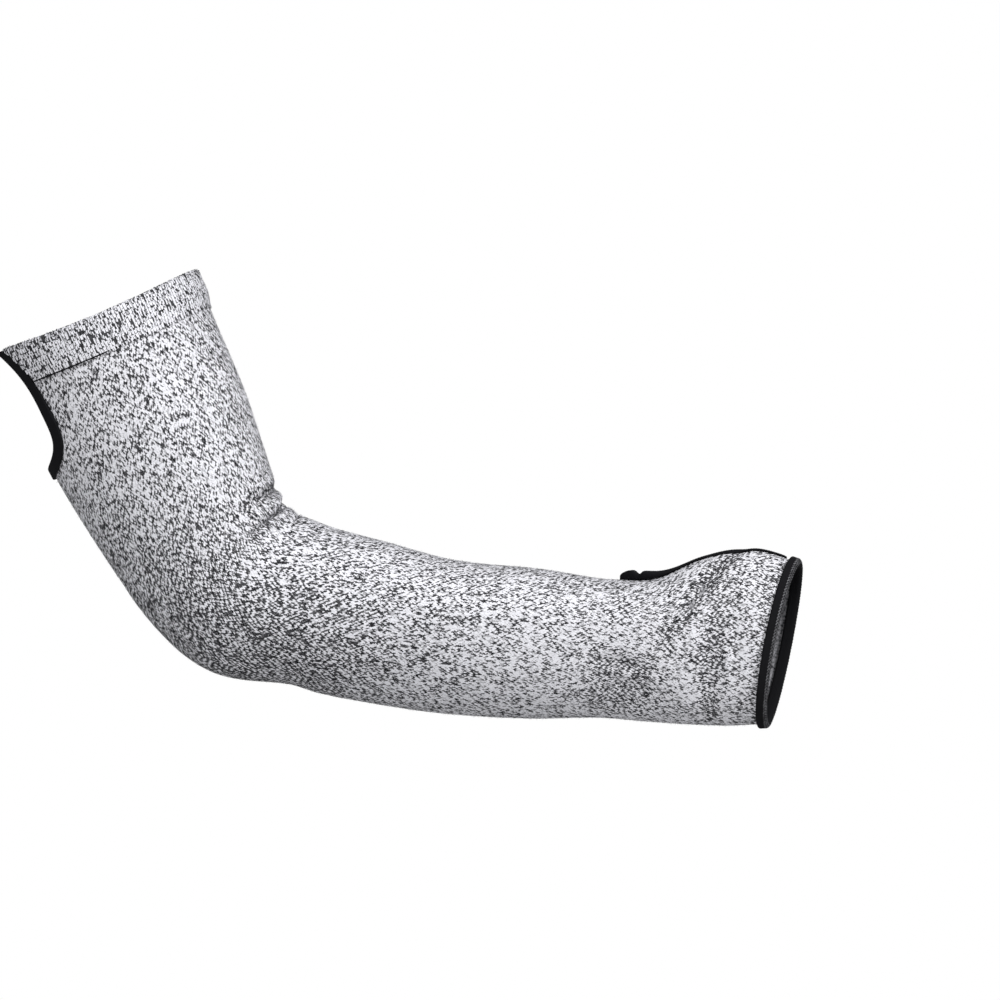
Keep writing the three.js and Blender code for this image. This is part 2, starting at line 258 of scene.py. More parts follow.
# The length run so far at each place, along an axis of an array of places
def lengthRun(places, axis=0):
    run = np.cumsum(np.linalg.norm(np.diff(places, axis=axis), axis=-1), axis=axis)
    return np.concatenate([np.zeros_like(np.take(run, [0], axis=axis)), run], axis=axis)


# Places that stand off the middle of the wall, outwards when the height is positive
def offCloth(station, angle, height):
    step, turn = 0.5, math.radians(0.5)
    down = clothPlace(station + step, angle) - clothPlace(station - step, angle)
    around = clothPlace(station, angle + turn) - clothPlace(station, angle - turn)
    normal = unit(np.cross(around, down))
    return clothPlace(station, angle) + normal * np.asarray(height, float)[..., None]


# Half the slot's width, on its outward side (1) or its inward side (-1)
def slotWidthAt(station, side):
    along = (station - slotStart) / sleeve["slotLength"]
    widest = np.where(side > 0, sleeve["slotNear"], sleeve["slotFar"])
    share = 1 - np.abs(2 * along - 1) ** sleeve["slotBluntness"]
    return widest * np.sqrt(np.clip(share, 0, 1))


def notchWidthAt(station, side):
    widest = np.where(side > 0, sleeve["notchNear"], sleeve["notchFar"])
    belly, length = sleeve["notchBelly"], sleeve["notchLength"]
    below = np.clip((station - belly) / (length - belly), 0, 1)
    closing = widest * np.sqrt(1 - below ** sleeve["notchBluntness"])
    above = np.abs((belly - station) / belly) ** 3
    opening = widest - (widest - sleeve["notchRimWidth"] / 2) * above
    return np.where(station >= length, 0, np.where(station >= belly, closing, opening))


# A socket in a node tree that sums and products can be taken of
class Term:
    def __init__(self, tree, socket):
        self.tree, self.socket = tree, socket

    def math(self, operation, *others):
        values = [self, *others]
        return node(self.tree, "ShaderNodeMath", {"operation": operation}, dict(enumerate(values)))

    def __add__(self, other):
        return self.math("ADD", other)

    def __sub__(self, other):
        return self.math("SUBTRACT", other)

    def __mul__(self, other):
        return self.math("MULTIPLY", other)

    def __rsub__(self, other):
        return node(self.tree, "ShaderNodeMath", {"operation": "SUBTRACT"}, {0: other, 1: self})

    __radd__ = __add__
    __rmul__ = __mul__


# A new node's output, with its settings made before its sockets are fed
def node(tree, kind, settings=None, inputs=None, output=0):
    made = tree.nodes.new(kind)
    for name, value in (settings or {}).items():
        setattr(made, name, value)
    for name, value in (inputs or {}).items():
        feed(tree, made.inputs[name], value)
    return Term(tree, made.outputs[output])


def feed(tree, socket, value):
    if isinstance(value, Term):
        tree.links.new(value.socket, socket)
    else:
        socket.default_value = value


def mixedColour(tree, share, first, second):
    return node(
        tree, "ShaderNodeMix", {"data_type": "RGBA"}, {"Factor": share, 6: first, 7: second}, 2
    )


# A material whose colour, roughness and bump height come from build
def material(name, roughness, specular, build):
    made = bpy.data.materials.new(name)
    made.use_nodes = True
    tree = made.node_tree
    shader = tree.nodes["Principled BSDF"]
    shader.inputs["Specular IOR Level"].default_value = specular
    shader.inputs["Roughness"].default_value = roughness
    colour, height, depth = build(tree)
    feed(tree, shader.inputs["Base Color"], colour)
    if height is not None:
        bump = node(tree, "ShaderNodeBump", None, {"Distance": depth, "Height": height})
        feed(tree, shader.inputs["Normal"], bump)
    return made


def objectPlace(tree):
    return node(tree, "ShaderNodeTexCoord", output="Object")


def noise(tree, scale, detail):
    inputs = {"Vector": objectPlace(tree), "Scale": scale, "Detail": detail}
    return node(tree, "ShaderNodeTexNoise", None, inputs)


def toneOf(tree):
    return node(tree, "ShaderNodeAttribute", {"attribute_name": "tone"}, None, 2)


def placed(name, data):
    made = bpy.data.objects.new(name, data)
    bpy.context.scene.collection.objects.link(made)
    return made


def meshObject(name, places, faces, made):
    mesh = bpy.data.meshes.new(name)
    corners = [list(map(int, face)) for face in faces]
    mesh.from_pydata((np.asarray(places) * millimetre).tolist(), [], corners)
    mesh.polygons.foreach_set("use_smooth", [True] * len(mesh.polygons))
    mesh.materials.append(made)
    mesh.update()
    return placed(name, mesh)


# What each point of a yarn piece carries: size is width, length and 1, in millimetres
vectorKeys = ("outward", "along", "size", "cell", "cell_size")
pointKeys = ("place", "tone", *vectorKeys)

# Knit of the sleeve body: how the stitches lie, and how pale and dark yarn alternate.
# creaseShade, elbowShade and mouthShade add dark yarn as painted shade, and the wrist value takes
# some away as painted light. elbowShift to mouthFade are lengths that say where this painted shade
# and light lie.
knit = {
    "upperWales": 212,
    "lowerWales": 164,
    "course": 1.5,
    "coreHeight": 0.3,
    "legHeight": 0.55,
    "legSlant": 22,
    "legSpread": 0.25,
    "legOverlap": 1.3,
    "legFullness": 1.04,
    "darkFullness": 0.74,
    "darkLift": 0.1,
    "legTilt": 7,
    "angleJitter": 6,
    "slip": 0.22,
    "sizeJitter": 0.15,
    "darkShare": 0.3,
    "creaseShade": 0.23,
    "deepest": 1.25,
    "elbowShade": 0.28,
    "wristPaintedLight": 0.1,
    "mouthShade": 0.38,
    "elbowShift": 14,
    "elbowRun": 62,
    "wristFrom": 110,
    "wristTo": 200,
    "mouthFade": 6,
    "underFrom": 0.7,
    "tapeGap": 0.8,
    "underHem": 3,
    "mouthGap": 1,
    "samples": 320,
    "seed": 11,
}


# Geometry nodes that put one rounded yarn leg on each point
def legTree():
    tree = bpy.data.node_groups.new("yarn_legs", "GeometryNodeTree")
    kinds = {"Geometry": "Geometry", "Height": "Float", "Seed": "Int", "Material": "Material"}
    for name, kind in kinds.items():
        tree.interface.new_socket(name, in_out="INPUT", socket_type="NodeSocket" + kind)
    tree.interface.new_socket("Geometry", in_out="OUTPUT", socket_type="NodeSocketGeometry")
    given = tree.nodes.new("NodeGroupInput")
    points, raised, picked, coat = (Term(tree, given.outputs[i]) for i in range(4))
    grid = tree.nodes.new("GeometryNodeMeshGrid")
    for name, value in {"Size X": 1, "Size Y": 1, "Vertices X": 3, "Vertices Y": 2}.items():
        grid.inputs[name].default_value = value
    place = node(tree, "GeometryNodeInputPosition")
    across = node(tree, "ShaderNodeSeparateXYZ", None, {0: place})
    arch = (1 - across * across * 4) * raised
    lift = node(tree, "ShaderNodeCombineXYZ", None, {"Z": arch})
    leg = node(
        tree,
        "GeometryNodeSetPosition",
        None,
        {"Geometry": Term(tree, grid.outputs[0]), "Offset": lift},
    )
    marked = storedMap(tree, leg, "leg_place", Term(tree, grid.outputs[1]))
    turned = node(
        tree,
        "FunctionNodeAxesToRotation",
        {"primary_axis": "Z", "secondary_axis": "Y"},
        {0: namedVector(tree, "outward"), 1: namedVector(tree, "along")},
    )
    jitter = node(
        tree,
        "FunctionNodeRandomValue",
        {"data_type": "FLOAT"},
        {2: 1 - knit["sizeJitter"], 3: 1 + knit["sizeJitter"], "Seed": picked},
        1,
    )
    size = node(
        tree,
        "ShaderNodeVectorMath",
        {"operation": "SCALE"},
        {0: namedVector(tree, "size"), "Scale": jitter},
    )
    legs = node(
        tree,
        "GeometryNodeInstanceOnPoints",
        None,
        {"Points": points, "Instance": marked, "Rotation": turned, "Scale": size},
    )
    real = node(tree, "GeometryNodeRealizeInstances", None, {"Geometry": legs})
    corner = node(
        tree,
        "ShaderNodeVectorMath",
        {"operation": "MULTIPLY_ADD"},
        {
            0: namedVector(tree, "leg_place"),
            1: namedVector(tree, "cell_size"),
            2: namedVector(tree, "cell"),
        },
    )
    mapped = storedMap(tree, real, "OFBake", corner)
    smooth = node(tree, "GeometryNodeSetShadeSmooth", None, {"Geometry": mapped})
    painted = node(
        tree, "GeometryNodeSetMaterial", None, {"Geometry": smooth, "Material": coat}
    )
    result = tree.nodes.new("NodeGroupOutput")
    feed(tree, result.inputs[0], painted)
    return tree


def storedMap(tree, geometry, name, value):
    settings = {"data_type": "FLOAT2", "domain": "CORNER"}
    inputs = {"Geometry": geometry, "Name": name, "Value": value}
    return node(tree, "GeometryNodeStoreNamedAttribute", settings, inputs)


def namedVector(tree, name):
    return node(
        tree, "GeometryNodeInputNamedAttribute", {"data_type": "FLOAT_VECTOR"}, {"Name": name}
    )


legNodes = legTree()


# The part of the bake map that each strand of a row of strands has to itself
def bakeRow(count, row=0, rows=1):
    cell = np.stack([np.arange(count) / count, np.full(count, row / rows), np.zeros(count)], -1)
    return {"cell": cell, "cell_size": np.tile([1 / count, 1 / rows, 0], (count, 1))}


def strandSizes(count, width, length):
    return np.stack([np.broadcast_to(value, count) for value in (width, length, 1.0)], -1)


# The points of several rows in one set
def joined(rows):
    return {key: np.concatenate([row[key] for row in rows]) for key in pointKeys}


def yarnLegs(name, points, height, made, seed):
    cloud = bpy.data.meshes.new(name + "_points")
    count = len(points["place"])
    cloud.vertices.add(count)
    cloud.vertices.foreach_set("co", (points["place"] * millimetre).ravel())
    for key in vectorKeys:
        values = np.asarray(points[key], float)
        values = values * millimetre if key == "size" else values
        layer = cloud.attributes.new(key, "FLOAT_VECTOR", "POINT")
        layer.data.foreach_set("vector", values.ravel())
    layer = cloud.attributes.new("tone", "FLOAT", "POINT")
    layer.data.foreach_set("value", np.asarray(points["tone"], float))
    source = placed(name + "_points", cloud)
    modifier = source.modifiers.new("legs", "NODES")
    modifier.node_group = legNodes
    sockets = {s.name: s.identifier for s in legNodes.interface.items_tree if s.in_out == "INPUT"}
    modifier[sockets["Height"]] = float(height * millimetre)
    modifier[sockets["Seed"]] = int(seed)
    modifier[sockets["Material"]] = made
    graph = bpy.context.evaluated_depsgraph_get()
    mesh = bpy.data.meshes.new_from_object(source.evaluated_get(graph))
    source.modifiers.clear()
    bpy.data.objects.remove(source)
    for spare in (*vectorKeys, "leg_place"):
        if spare in mesh.attributes:
            mesh.attributes.remove(mesh.attributes[spare])
    mesh.name = name
    if not mesh.materials:
        mesh.materials.append(made)
    mesh.uv_layers["OFBake"].active_render = True
    print(name, len(mesh.polygons) * 2, "triangles")
    return placed(name, mesh)


# The angle of each wale at each station, evenly spaced across the cloth
def waleAngles(stations, wales):
    angles = frontLine + np.linspace(0, 2 * math.pi, 361)
    run = lengthRun(clothPlace(stations[:, None], angles[None, :]), 1)
    shares = (np.arange(wales) + 0.5) / wales
    found = np.array([np.interp(shares * row[-1], row, angles) for row in run])
    return found, run[:, -1]


# Tones run from 0, black, to 1, pale. favoured and other weigh the chance of dark yarn.
tones = {
    "favoured": 1.6,
    "other": 0.4,
    "faintShare": 0.14,
    "faint": 0.45,
    "pale": 0.84,
    "paleRange": 0.16,
    "darkRange": 0.1,
}


# Pale and dark yarn, which mostly take turns down each column of legs. darkShare is the chance of
# dark yarn, with any painted shade and light that callers lay on it.
def yarnTones(rng, wale, course, darkShare):
    phase = rng.integers(0, 2, wale.max() + 1)
    favoured = (course + phase[wale]) % 2 == 0
    chance = darkShare * np.where(favoured, tones["favoured"], tones["other"])
    dark = rng.random(len(wale)) < chance
    faint = rng.random(len(wale)) < tones["faintShare"]
    pale = np.where(faint, tones["faint"], tones["pale"])
    pale = pale + tones["paleRange"] * rng.random(len(wale))
    return np.where(dark, tones["darkRange"] * rng.random(len(wale)), pale)


# Two legs for each stitch. Place maps p, down the wale, and q, round the sleeve
def legPoints(place, wale, course, p, q, waleWidth, look, rng, darkShare):
    step, turn = 0.4, math.radians(0.4)
    here = place(p, q)
    down = unit(place(p + step, q) - place(p - step, q))
    around = place(p, q + turn) - place(p, q - turn)
    normal = unit(np.cross(around, down))
    across = np.cross(down, normal)
    rows = []
    wales, courses = wale.max() + 1, course.max() + 1 - course.min()
    slantMean, tilt = math.radians(look["legSlant"]), math.radians(look["legTilt"])
    length = look["course"] / math.cos(slantMean) * look["legOverlap"]
    for hand in (-1, 1):
        slant = slantMean + rng.normal(size=len(p)) * math.radians(look["angleJitter"])
        flat = down * np.cos(slant)[:, None] + across * (hand * np.sin(slant))[:, None]
        tone = yarnTones(rng, wale, course, darkShare)
        fullness = look["darkFullness"] + (look["legFullness"] - look["darkFullness"]) * tone
        aside = across * (hand * waleWidth * look["legSpread"])[:, None]
        slip = rng.normal(size=len(p)) * look["slip"]
        raised = normal * ((1 - tone) * look["darkLift"])[:, None]
        left = (wale + (hand + 1) / 4) / wales
        low = (course - course.min()) / courses
        rows.append(
            {
                "place": here + aside + raised + down * slip[:, None],
                "tone": tone,
                "outward": normal * math.cos(tilt) - flat * math.sin(tilt),
                "along": flat * math.cos(tilt) + normal * math.sin(tilt),
                "size": strandSizes(len(p), waleWidth / 2 * fullness, length),
                "cell": np.stack([left, low, np.zeros(len(p))], -1),
                "cell_size": np.tile([0.5 / wales, 1 / courses, 0], (len(p), 1)),
            }
        )
    return joined(rows)


# Colours of the materials. A Scale is the noise's, in waves a metre. A Bump is a height in metres.
paint = {
    "blackYarn": (0.006, 0.006, 0.008, 1),
    "paleYarn": (0.84, 0.84, 0.885, 1),
    "paleHemYarn": (0.84, 0.84, 0.89, 1),
    "plyScale": 1500,
    "plyRange": 0.5,
    "plyLeast": 0.76,
    "fibreScale": 5200,
    "fibreBump": 0.00018,
    # The cores show through the gaps between stitches: their colours are the knit's own inner loops
    # with random patches, darkened as painted shade for those gaps
    "darkCoreShaded": (0.04, 0.04, 0.045, 1),
    "paleCoreShaded": (0.34, 0.34, 0.36, 1),
    "darkHemCoreShaded": (0.02, 0.02, 0.024, 1),
    "paleHemCoreShaded": (0.16, 0.16, 0.17, 1),
    "patchScale": 700,
    "patchLeast": 0.35,
    "patchContrast": 4,
    "patchBump": 0.0003,
    "darkTape": (0.003, 0.003, 0.0035, 1),
    "paleTape": (0.009, 0.009, 0.011, 1),
    "weaveScale": 2600,
    "weaveBump": 0.0003,
    "darkThread": (0.006, 0.006, 0.007, 1),
    "paleThread": (0.13, 0.13, 0.14, 1),
    "twistScale": 2200,
    "twistLeast": 0.5,
    "twistBump": 0.0002,
    "floor": (0.9, 0.9, 0.9, 1),
}


def marlYarn(pale):
    def build(tree):
        plies = noise(tree, paint["plyScale"], 2)
        fibres = noise(tree, paint["fibreScale"], 2)
        share = toneOf(tree) * (plies * paint["plyRange"] + paint["plyLeast"])
        share = share.math("MINIMUM", 1.0).math("MAXIMUM", 0.0)
        return mixedColour(tree, share, paint["blackYarn"], pale), fibres, paint["fibreBump"]

    return build


def coreKnit(dark, pale):
    def build(tree):
        patches = noise(tree, paint["patchScale"], 3)
        share = (patches - paint["patchLeast"]) * paint["patchContrast"]
        return mixedColour(tree, share, dark, pale), patches, paint["patchBump"]

    return build


def blackTape(tree):
    weave = noise(tree, paint["weaveScale"], 3)
    return mixedColour(tree, weave, paint["darkTape"], paint["paleTape"]), weave, paint["weaveBump"]


def greyThread(tree):
    twist = noise(tree, paint["twistScale"], 2)
    share = toneOf(tree) * (twist + paint["twistLeast"])
    colour = mixedColour(tree, share, paint["darkThread"], paint["paleThread"])
    return colour, twist, paint["twistBump"]


# Name, roughness, specular level, colour and bump
yarn = material("marl_yarn", 0.75, 0.15, marlYarn(paint["paleYarn"]))
hemYarn = material("hem_yarn", 0.75, 0.15, marlYarn(paint["paleHemYarn"]))
# The core materials carry painted shade for the gaps between stitches
core = material("knit_core_gap_shade", 0.9, 0.1, coreKnit(paint["darkCoreShaded"], paint["paleCoreShaded"]))
hemCore = material("hem_core_gap_shade", 0.9, 0.1, coreKnit(paint["darkHemCoreShaded"], paint["paleHemCoreShaded"]))
tapeBlack = material("black_tape", 0.85, 0.1, blackTape)
threadGrey = material("grey_thread", 0.7, 0.3, greyThread)
print("materials made")


# The tube that carries the stitches
tube = {
    "columns": 60,
    "rowStep": 1.9,
    "endSteps": 34,
    "mouthRows": 5,
    "outer": 0.05,
    "inner": -0.75,
    "weldWithin": 0.01,
}


def roundSteps(end, widest, steps, bluntness):
    turn = np.cos(np.linspace(0, math.pi / 2, steps + 1))
    return widest + (end - widest) * np.maximum(0, turn) ** (2 / bluntness)


def tubeRows():
    steps, bluntness = tube["endSteps"], sleeve["slotBluntness"]
    slotMiddle = (slotStart + slotEnd) / 2
    parts = [
        roundSteps(slotStart, slotMiddle, steps, bluntness),
        roundSteps(slotEnd, slotMiddle, steps, bluntness),
        roundSteps(sleeve["notchLength"], sleeve["notchBelly"], steps, sleeve["notchBluntness"]),
        np.arange(0, sleeve["notchBelly"], tube["rowStep"]),
        np.arange(sleeve["notchLength"] + 1, slotStart - 1, tube["rowStep"]),
        np.linspace(slotEnd + 1, mouthStation, tube["mouthRows"]),
    ]
    return np.unique(np.round(np.concatenate(parts), 4))


# Angles from the slot's edge to the notch's edge, for each station
def columnAngles(stations, side):
    depth = sectionAt(stations)[2]
    front = frontLine + side * slotWidthAt(stations, side) / depth
    back = side * (backLine - notchWidthAt(stations, side) / depth)
    shares = np.linspace(0, 1, tube["columns"] + 1)
    return front[:, None] + (back - front)[:, None] * shares[None, :]


def knitTube():
    rows = tubeRows()
    count, wide = len(rows), tube["columns"] + 1
    places, faces = [], []
    for side in (1, -1):
        angles = columnAngles(rows, side)
        skins = []
        for height in (tube["outer"], tube["inner"]):
            grid = offCloth(rows[:, None], angles, height)
            skins.append(len(places) * count * wide)
            places.append(grid.reshape(-1, 3))
        index = np.arange(count * wide).reshape(count, wide)
        a, b = index[:-1, :-1].ravel(), index[:-1, 1:].ravel()
        c, d = index[1:, 1:].ravel(), index[1:, :-1].ravel()
        outer, inner = skins
        order = (a, b, c, d) if side > 0 else (d, c, b, a)
        faces.append(np.stack([v + outer for v in order], -1))
        faces.append(np.stack([v + inner for v in order[::-1]], -1))
        # Walls join the two skins at the slot, the notch, the upper rim and the hand opening
        slot, notch = slotWidthAt(rows, side), notchWidthAt(rows, side)
        slotOpen, notchOpen = slot[:-1] + slot[1:] > 1e-6, notch[:-1] + notch[1:] > 1e-6
        edges = [
            (index[:-1, 0][slotOpen], index[1:, 0][slotOpen], side < 0),
            (index[:-1, -1][notchOpen], index[1:, -1][notchOpen], side > 0),
            (index[0, :-1], index[0, 1:], side > 0),
            (index[-1, :-1], index[-1, 1:], side < 0),
        ]
        for one, other, flip in edges:
            wall = [one + outer, other + outer, other + inner, one + inner]
            faces.append(np.stack(wall[::-1] if flip else wall, -1))
    return np.concatenate(places), np.concatenate(faces)


def weld(piece):
    work = bmesh.new()
    work.from_mesh(piece.data)
    bmesh.ops.remove_doubles(work, verts=work.verts, dist=tube["weldWithin"] * millimetre)
    bmesh.ops.recalc_face_normals(work, faces=work.faces)
    work.to_mesh(piece.data)
    work.free()
    piece.data.update()


sleeveTube = meshObject("sleeve_tube", *knitTube(), core)
weld(sleeveTube)
print("tube welded,", len(sleeveTube.data.polygons), "faces")


# The share of dark yarn, raised as painted shade in creases, behind the bend and next to the hand
# opening, and lowered as painted light towards the wrist on the same side
def bodyShade(station, angle):
    crease = np.clip(-foldHeight(station, angle, sectionAt(station)[2]), 0, knit["deepest"])
    past = station - elbowStation
    nearMouth = np.exp(-((mouthStation - station) / knit["mouthFade"]))
    nearElbow = np.exp(-(((past - knit["elbowShift"]) / knit["elbowRun"]) ** 2))
    towardWrist = smoothStep(past, knit["wristFrom"], knit["wristTo"])
    under = np.clip(knit["underFrom"] - np.cos(angle), 0, 1)
    shade = knit["darkShare"] + knit["creaseShade"] * crease + knit["mouthShade"] * nearMouth
    shade = shade + knit["elbowShade"] * nearElbow * under
    return shade - knit["wristPaintedLight"] * towardWrist * under * (1 - nearMouth)


# The stitches of the body
def bodyStitches(name, wales, first, last):
    rng = np.random.default_rng(knit["seed"] + wales)
    stations = np.linspace(0, mouthStation, knit["samples"])
    angles, girthRun = waleAngles(stations, wales)
    run = lengthRun(clothPlace(stations[:, None], angles))
    found = {"wale": [], "course": [], "station": []}
    for column in range(wales):
        ends = np.arange(rng.uniform(0, 1), run[-1, column] / knit["course"])
        found["station"].append(np.interp(ends * knit["course"], run[:, column], stations))
        found["course"].append(np.arange(len(ends)))
        found["wale"].append(np.full(len(ends), column))
    wale, course, station = (np.concatenate(found[k]) for k in ("wale", "course", "station"))
    after = np.searchsorted(stations, station).clip(1, len(stations) - 1)
    share = (station - stations[after - 1]) / (stations[after] - stations[after - 1])
    angle = angles[after - 1, wale] * (1 - share) + angles[after, wale] * share
    width = np.interp(station, stations, girthRun) / wales
    toSlot, toNotch = seamGaps(station, angle)
    slotGap = np.abs(toSlot) - slotWidthAt(station, np.sign(toSlot))
    inSlot = (station > slotStart) & (station < slotEnd) & (slotGap < knit["tapeGap"])
    notchGap = np.abs(toNotch) - notchWidthAt(station, -np.sign(toNotch))
    inNotch = (station < sleeve["notchLength"]) & (notchGap < knit["tapeGap"])
    kept = ~inSlot & ~inNotch & (station > first) & (station < last)
    wale, course, station, angle, width = (v[kept] for v in (wale, course, station, angle, width))

    def place(p, q):
        return offCloth(p, q, knit["coreHeight"])

    # The dark yarn share, with its painted shade and painted light
    shade = bodyShade(station, angle)
    points = legPoints(place, wale, course, station, angle, width, knit, rng, shade)
    return yarnLegs(name, points, knit["legHeight"], yarn, knit["seed"])


wristStation = stationOf("forearm", 0.55)
firstCourse = sleeve["hemHeight"] - knit["underHem"]
lastCourse = mouthStation - knit["mouthGap"]
bodyKnit = [
    bodyStitches("knit_upper_arm", knit["upperWales"], firstCourse, elbowStation),
    bodyStitches("knit_forearm", knit["lowerWales"], elbowStation, wristStation),
    bodyStitches("knit_wrist", knit["lowerWales"], wristStation, lastCourse),
]

# Short loose fibres that soften the outline
fuzz = {
    "count": 9000,
    "length": 1.7,
    "width": 0.12,
    "height": 0.05,
    "shortest": 0.5,
    "longest": 1.2,
    "lean": 32,
    "leastLean": 0.3,
    "rootShift": 0.3,
    "lift": 0.65,
    "leastTone": 0.5,
    "hemGap": 2,
    "mouthGap": 4,
    "slotGap": 5,
    "slotHalf": 26,
    "notchHalf": 40,
    "seed": 21,
    "sizeSeed": 6,
}


def looseFibres():
    rng = np.random.default_rng(fuzz["seed"])
    count = fuzz["count"]
    first, last = sleeve["hemHeight"] + fuzz["hemGap"], mouthStation - fuzz["mouthGap"]
    station = rng.uniform(first, last, count)
    angle = rng.uniform(-math.pi, math.pi, count)
    toSlot, toNotch = seamGaps(station, angle)
    offSlot = (station < slotStart - fuzz["slotGap"]) | (np.abs(toSlot) > fuzz["slotHalf"])
    offNotch = (station > sleeve["notchLength"]) | (np.abs(toNotch) > fuzz["notchHalf"])
    station, angle = station[offSlot & offNotch], angle[offSlot & offNotch]
    count, step = len(station), 0.4
    here = offCloth(station, angle, fuzz["lift"])
    after, before = (offCloth(station + move, angle, knit["coreHeight"]) for move in (step, -step))
    down = unit(after - before)
    normal = unit(here - clothPlace(station, angle))
    across = np.cross(down, normal)
    turn = rng.uniform(0, 2 * math.pi, count)[:, None]
    flat = down * np.cos(turn) + across * np.sin(turn)
    lean = np.radians(rng.uniform(fuzz["leastLean"], 1, count) * fuzz["lean"])[:, None]
    along = flat * np.cos(lean) + normal * np.sin(lean)
    length = fuzz["length"] * rng.uniform(fuzz["shortest"], fuzz["longest"], count)
    return {
        "place": here + along * length[:, None] * fuzz["rootShift"],
        "outward": normal * np.cos(lean) - flat * np.sin(lean),
        "along": along,
        "size": strandSizes(count, fuzz["width"], length),
        "tone": rng.uniform(fuzz["leastTone"], 1, count),
        **bakeRow(count),
    }


fibres = yarnLegs("loose_fibres", looseFibres(), fuzz["height"], yarn, fuzz["sizeSeed"])
print("stitches laid")


# A folded strip in section, as the solids have it but rounded: corner is the rounding of its
# edges as a share of the layer, and bulge is how far its fold stands out. The inside comes last.
fold = {"corner": 0.45, "bulge": 0.3, "innerCorners": 6}


def foldedSection(layer, reach, legSteps, turnSteps):
    outside = stripInside + layer
    turn = sleeve["clearance"] + layer
    corner = layer * fold["corner"]
    legs = np.linspace(-reach + corner, 0, legSteps + 1)[:-1]
    arc = np.linspace(0, math.pi, turnSteps + 1)
    outer = [(-reach, outside - corner), (-reach + corner * 0.3, outside - corner * 0.3)]
    outer += [(on, outside) for on in legs]
    outer += [((turn + fold["bulge"]) * math.sin(a), outside * math.cos(a)) for a in arc]
    outer += [(on, -outside) for on in legs[::-1]]
    outer += [(-reach + corner * 0.3, -outside + corner * 0.3), (-reach, -outside + corner)]
    edge = sleeve["clearance"]
    low, high = -stripInside, stripInside
    inner = [(-reach, low), (edge * 0.6, low), (edge, low + edge / 3)]
    inner += [(edge, high - edge / 3), (edge * 0.6, high), (-reach, high)]
    return np.array(outer + inner)


# A strip through loops of places, an array of loop, corner and axis: an open one is capped
def sweptMesh(loops, closed):
    count, corners = loops.shape[:2]
    index = np.arange(count * corners).reshape(count, corners)
    here = index if closed else index[:-1]
    following = np.roll(index, -1, axis=0) if closed else index[1:]
    sides = (here, following, np.roll(following, -1, axis=1), np.roll(here, -1, axis=1))
    faces = np.stack([side.ravel() for side in sides], -1).tolist()
    if not closed:
        faces += [index[0].tolist(), index[-1][::-1].tolist()]
    return loops.reshape(-1, 3), faces


# Loops of a folded strip along a path of stations and distances across the cloth
def edgeLoops(path, closed, line, section, ribs, shares=(1, 1)):
    before, after = np.roll(path, 1, axis=0), np.roll(path, -1, axis=0)
    if not closed:
        before[0], after[-1] = path[0], path[-1]
    heading = unit(after - before)
    layer, reach = shares
    on, height = section[None, :, 0], section[None, :, 1]
    on = np.where(on < 0, on * reach, on)
    past = np.maximum(np.abs(height) - stripInside, 0)
    station = path[:, :1] + heading[:, 1:] * on
    across = path[:, 1:] - heading[:, :1] * on
    wave = ribs * (np.arange(len(path)) % 2 - 0.5)[:, None] * (past > 0.1)
    if not closed:
        # An open strip is cut level with the rim
        station = np.maximum(station, path[0, 0])
    side = sectionAt(path[:, 0])[2][:, None]
    thick = np.abs(height) + past * (layer - 1) + wave
    return station, line + across / side, np.sign(height) * thick


# The same path with its points a step apart
def evenPath(path, step, closed):
    if closed:
        path = np.concatenate([path, path[:1]])
    run = lengthRun(path)
    count = max(4, int(run[-1] / step) // 2 * 2)
    spots = np.linspace(0, run[-1], count + 1)
    spots = spots[:-1] if closed else spots
    return np.stack([np.interp(spots, run, path[:, i]) for i in (0, 1)], -1)


# The tape round the thumb slot
slotTape = {
    "layer": 1.2,
    "reach": 3.4,
    "step": 0.6,
    "ribs": 0.1,
    "thinFrom": 12,
    "thinTo": 33,
    "thinLayer": 0.45,
    "thinReach": 0.5,
    "dip": 7.3,
    "dipRun": 1.6,
    "dipDepth": 0.2,
    "dipLap": 0.5,
    "blobRun": 4,
    "blobLap": 0.92,
    "thinLap": 0.75,
}


def slotPath():
    turn = np.linspace(0, math.pi, 200)
    middle, half = (slotStart + slotEnd) / 2, sleeve["slotLength"] / 2
    power = 2 / sleeve["slotBluntness"]
    stations = middle - half * np.sign(np.cos(turn)) * np.abs(np.cos(turn)) ** power
    near = np.stack([stations, slotWidthAt(stations, 1)], -1)
    far = np.stack([stations, -slotWidthAt(stations, -1)], -1)
    return np.concatenate([near, far[::-1][1:-1]])


def dipAt(along):
    return np.exp(-(((along - slotTape["dip"]) / slotTape["dipRun"]) ** 2))


def thinning(path):
    along = path[:, :1] - slotStart
    thin = smoothStep(along, slotTape["thinFrom"], slotTape["thinTo"])
    dip = slotTape["dipDepth"] * dipAt(along)
    layer = 1 - (1 - slotTape["thinLayer"]) * thin - dip
    reach = 1 - (1 - slotTape["thinReach"]) * thin - dip
    return layer, reach


def slotBinding():
    section = foldedSection(slotTape["layer"], slotTape["reach"], legSteps=4, turnSteps=10)
    path = evenPath(slotPath(), slotTape["step"], True)
    station, angle, height = edgeLoops(
        path, True, frontLine, section, slotTape["ribs"], thinning(path)
    )
    along = path[:, :1] - slotStart
    lap = sleeve["slotLap"] * np.exp(-((along / sleeve["slotLapRun"]) ** 2))
    blunt = np.clip(1 - along / slotTape["blobRun"], 0, 1)
    thin = smoothStep(along, slotTape["thinFrom"], slotTape["thinTo"])
    lap = lap * np.sqrt(1 - slotTape["blobLap"] * blunt**2)
    lap = lap * (1 - slotTape["dipLap"] * dipAt(along)) * (1 - slotTape["thinLap"] * thin)
    raised = height > sleeve["wall"] / 2 + slotTape["layer"] / 2
    return sweptMesh(offCloth(station, angle, height + lap * raised), True)


